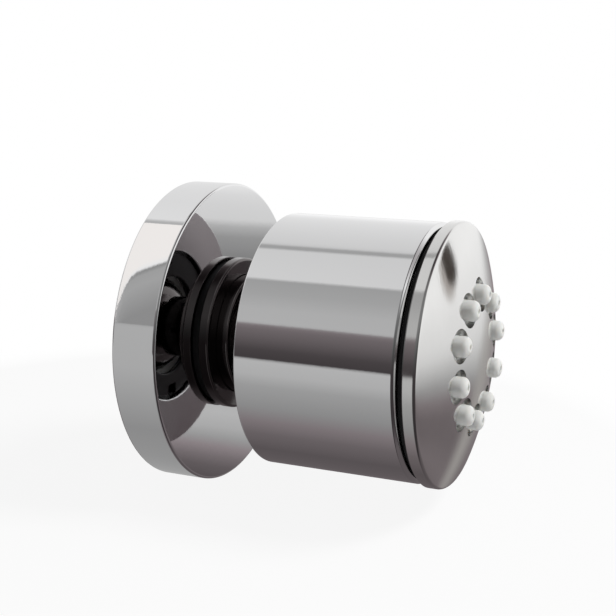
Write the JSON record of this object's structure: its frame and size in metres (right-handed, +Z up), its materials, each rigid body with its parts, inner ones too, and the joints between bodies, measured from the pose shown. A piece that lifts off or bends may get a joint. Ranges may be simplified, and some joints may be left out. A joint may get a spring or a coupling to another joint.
{
  "type": "shower body jet",
  "caption": "Wall-mounted shower body jet: a round head with a domed spray face and soft nozzles, on a ball joint in front of a shallow round flange with a male pipe thread.",
  "frame": {"origin": "on the jet axis, in the plane of the flange's back face, which lies on the finished wall", "axes": "+Y along the jet axis into the wall, so the jet points along -Y; +Z up; +X to the right seen from the room"},
  "size_m": [0.0604, 0.0752, 0.0604],
  "materials": {
    "polished_chrome": "polished",
    "satin_chrome": "satin",
    "brass": "satin",
    "steel": "satin",
    "black_rubber": "matte",
    "white_silicone": "satin",
    "white_plastic": "satin",
    "grey_plastic": "satin"
  },
  "bodies": {
    "wall_side": {"wall_flange": "polished_chrome", "flange_seal": "black_rubber", "wall_seal": "black_rubber", "ball_stem": "polished_chrome", "inlet_seal": "black_rubber", "inlet_filter": "white_plastic", "collar_washer": "black_rubber", "lock_ring": "polished_chrome"},
    "rear_seat": {"rear_seat_ring": "white_plastic"},
    "front_seat": {"front_seat_ring": "white_plastic"},
    "head": {"joint_seal": "black_rubber", "ball_nut": "brass", "head_shell": "polished_chrome", "head_core": "grey_plastic", "core_seal": "black_rubber", "core_lock_ring": "brass", "flow_regulator": "white_plastic", "regulator_ring": "black_rubber", "face_plate": "satin_chrome", "face_seal": "black_rubber", "nozzle_mat": "white_silicone", "spray_plate": "grey_plastic", "spray_screws": "steel"}
  },
  "joints": [
    {"name": "head_pan", "type": "hinge", "parent": "wall_side", "child": "rear_seat", "pos_m": [0, -0.0315, 0], "axis": [0, 0, 1], "range_deg": [-15, 15]},
    {"name": "head_tilt", "type": "hinge", "parent": "rear_seat", "child": "front_seat", "pos_m": [0, -0.0315, 0], "axis": [1, 0, 0], "range_deg": [-15, 15]},
    {"name": "head_spin", "type": "hinge", "parent": "front_seat", "child": "head", "pos_m": [0, -0.0315, 0], "axis": [0, -1, 0], "continuous": true}
  ]
}
